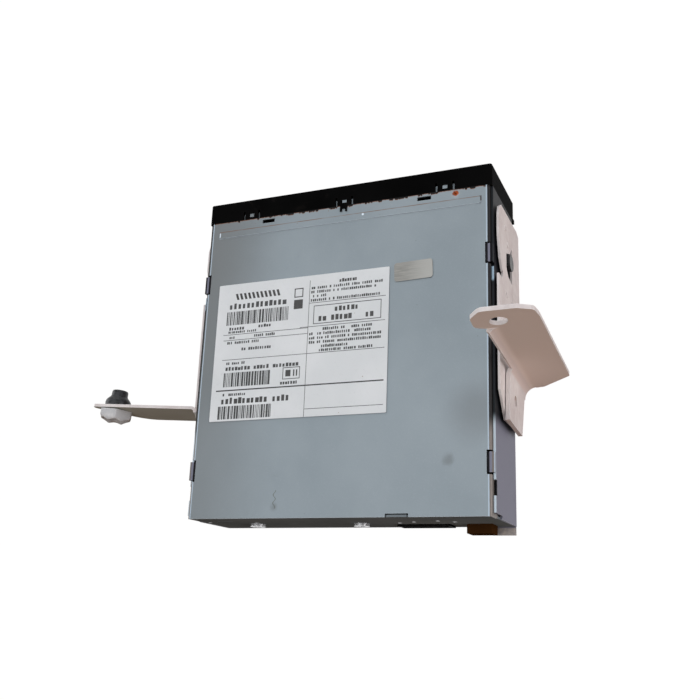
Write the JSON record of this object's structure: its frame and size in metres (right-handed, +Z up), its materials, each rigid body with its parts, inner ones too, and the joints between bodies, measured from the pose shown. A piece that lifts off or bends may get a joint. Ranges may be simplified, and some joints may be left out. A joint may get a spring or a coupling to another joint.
{
  "type": "car disc changer",
  "caption": "In-dash car disc changer: flat zinc sheet case with a black front bezel, white side brackets and two bent mounting arms, with loader, tray lift and playing deck inside.",
  "frame": {"origin": "middle of the underside of the case, where it lies on its carrier", "axes": "+X along the front towards the left arm, +Y from the disc mouth to the rear plugs, +Z up through the top cover"},
  "size_m": [0.2873, 0.198, 0.1084],
  "materials": {
    "zinc_sheet": "matte",
    "black_plastic": "matte",
    "white_zinc": "satin",
    "black_steel": "satin",
    "bright_steel": "satin",
    "board_green": "matte",
    "brown_plastic": "matte",
    "grey_plastic": "matte",
    "white_plastic": "matte",
    "gold_pins": "polished",
    "soft_rubber": "matte",
    "clear_lens": "polished"
  },
  "bodies": {
    "case": {"chassis": "zinc_sheet", "top_cover": "zinc_sheet", "rear_panel": "zinc_sheet", "front_bezel": "black_plastic", "shutter_pin": "bright_steel", "left_bracket": "white_zinc", "right_bracket": "white_zinc", "left_arm": "white_zinc", "right_arm": "white_zinc", "arm_nut": "white_zinc", "arm_bolt": "black_steel", "bracket_knobs": "black_steel", "bracket_rivets": "white_zinc", "main_board": "board_green", "board_chips": "grey_plastic", "board_capacitors": "bright_steel", "brown_connector": "brown_plastic", "main_connector": "black_plastic", "connector_pins": "gold_pins", "coax_sockets": "bright_steel", "mech_base": "bright_steel", "mech_top": "bright_steel", "dampers": "soft_rubber", "float_springs": "bright_steel", "mech_screws": "bright_steel", "stocker_guides": "bright_steel", "hinge_pins": "bright_steel", "lift_motor": "bright_steel", "loader_motor": "bright_steel", "deck_plate": "bright_steel", "sled_rails": "bright_steel", "spindle_motor": "bright_steel", "sled_motor": "bright_steel"},
    "shutter": {"shutter_door": "black_plastic"},
    "upper_guide": {"disc_guide": "grey_plastic"},
    "roller": {"feed_roller": "soft_rubber", "roller_shaft": "bright_steel"},
    "idler": {"idler_gear": "white_plastic"},
    "loader_drive": {"loader_pinion": "white_plastic"},
    "stocker": {"stocker_frame": "grey_plastic", "disc_tray_1": "grey_plastic", "disc_tray_2": "grey_plastic", "disc_tray_3": "grey_plastic", "disc_tray_4": "grey_plastic", "disc_tray_5": "grey_plastic", "disc_tray_6": "grey_plastic"},
    "cam_plate_left": {"cam_left": "white_plastic"},
    "cam_plate_right": {"cam_right": "white_plastic"},
    "sync": {"sync_shaft": "bright_steel"},
    "lift_drive": {"lift_motor_pinion": "white_plastic"},
    "spindle": {"turntable": "grey_plastic"},
    "sled": {"pickup_sled": "grey_plastic"},
    "sled_screw": {"feed_screw": "bright_steel"},
    "lens": {"lens_holder": "black_plastic", "objective_lens": "clear_lens"},
    "clamp": {"clamp_arm": "bright_steel"},
    "clamper": {"disc_clamper": "white_plastic"}
  },
  "joints": [
    {"name": "shutter_swing", "type": "hinge", "parent": "case", "child": "shutter", "pos_m": [0, -0.0922, 0.0316], "axis": [1, 0, 0], "range_deg": [0, 75], "stiffness_Nm_per_rad": 0.001, "springref_deg": -17.19},
    {"name": "guide_lift", "type": "hinge", "parent": "case", "child": "upper_guide", "pos_m": [0, -0.066, 0.033], "axis": [-1, 0, 0], "range_deg": [0, 6], "stiffness_Nm_per_rad": 0.05, "springref_deg": -5.73},
    {"name": "roller_spin", "type": "hinge", "parent": "case", "child": "roller", "pos_m": [0, -0.084, 0.0214], "axis": [1, 0, 0], "continuous": true},
    {"name": "idler_spin", "type": "hinge", "parent": "case", "child": "idler", "pos_m": [0, -0.07612, 0.01772], "axis": [1, 0, 0], "continuous": true},
    {"name": "loader_spin", "type": "hinge", "parent": "case", "child": "loader_drive", "pos_m": [0, -0.06884, 0.0159], "axis": [1, 0, 0], "continuous": true},
    {"name": "stocker_lift", "type": "slide", "parent": "case", "child": "stocker", "axis": [0, 0, 1], "range_m": [-0.006, 0.006]},
    {"name": "cam_left_slide", "type": "slide", "parent": "case", "child": "cam_plate_left", "axis": [0, 1, 0], "range_m": [-0.009, 0.009]},
    {"name": "cam_right_slide", "type": "slide", "parent": "case", "child": "cam_plate_right", "axis": [0, 1, 0], "range_m": [-0.009, 0.009]},
    {"name": "sync_turn", "type": "hinge", "parent": "case", "child": "sync", "pos_m": [0, 0.008, 0.0137], "axis": [1, 0, 0], "range_deg": [-161.6, 161.6]},
    {"name": "lift_motor_turn", "type": "hinge", "parent": "case", "child": "lift_drive", "pos_m": [0, 0.001, 0.0154], "axis": [1, 0, 0], "range_deg": [-129.4, 129.4]},
    {"name": "spindle_spin", "type": "hinge", "parent": "case", "child": "spindle", "pos_m": [0, -0.026, 0.02], "axis": [0, 0, 1], "continuous": true},
    {"name": "sled_travel", "type": "slide", "parent": "case", "child": "sled", "axis": [1, 0, 0], "range_m": [0, 0.034]},
    {"name": "screw_turn", "type": "hinge", "parent": "case", "child": "sled_screw", "pos_m": [0, -0.0465, 0.017], "axis": [1, 0, 0], "range_deg": [-1, 6121]},
    {"name": "lens_focus", "type": "slide", "parent": "sled", "child": "lens", "axis": [0, 0, 1], "range_m": [-0.0002, 0.0006], "stiffness_N_per_m": 60},
    {"name": "clamp_swing", "type": "hinge", "parent": "case", "child": "clamp", "pos_m": [0, 0.01, 0.037], "axis": [1, 0, 0], "range_deg": [0, 6.2], "stiffness_Nm_per_rad": 0.3, "springref_deg": -11.46},
    {"name": "clamper_spin", "type": "hinge", "parent": "clamp", "child": "clamper", "pos_m": [0, -0.026, 0.034], "axis": [0, 0, 1], "continuous": true}
  ],
  "couplings": [
    {"joint": "idler_spin", "follows": "roller_spin", "ratio": -0.93333},
    {"joint": "loader_spin", "follows": "roller_spin", "ratio": 1.4},
    {"joint": "cam_left_slide", "follows": "stocker_lift", "ratio": -1.5},
    {"joint": "cam_right_slide", "follows": "stocker_lift", "ratio": -1.5},
    {"joint": "sync_turn", "follows": "stocker_lift", "rad_per_m": 468.75},
    {"joint": "lift_motor_turn", "follows": "stocker_lift", "rad_per_m": -375},
    {"joint": "screw_turn", "follows": "sled_travel", "rad_per_m": 3141.6}
  ]
}
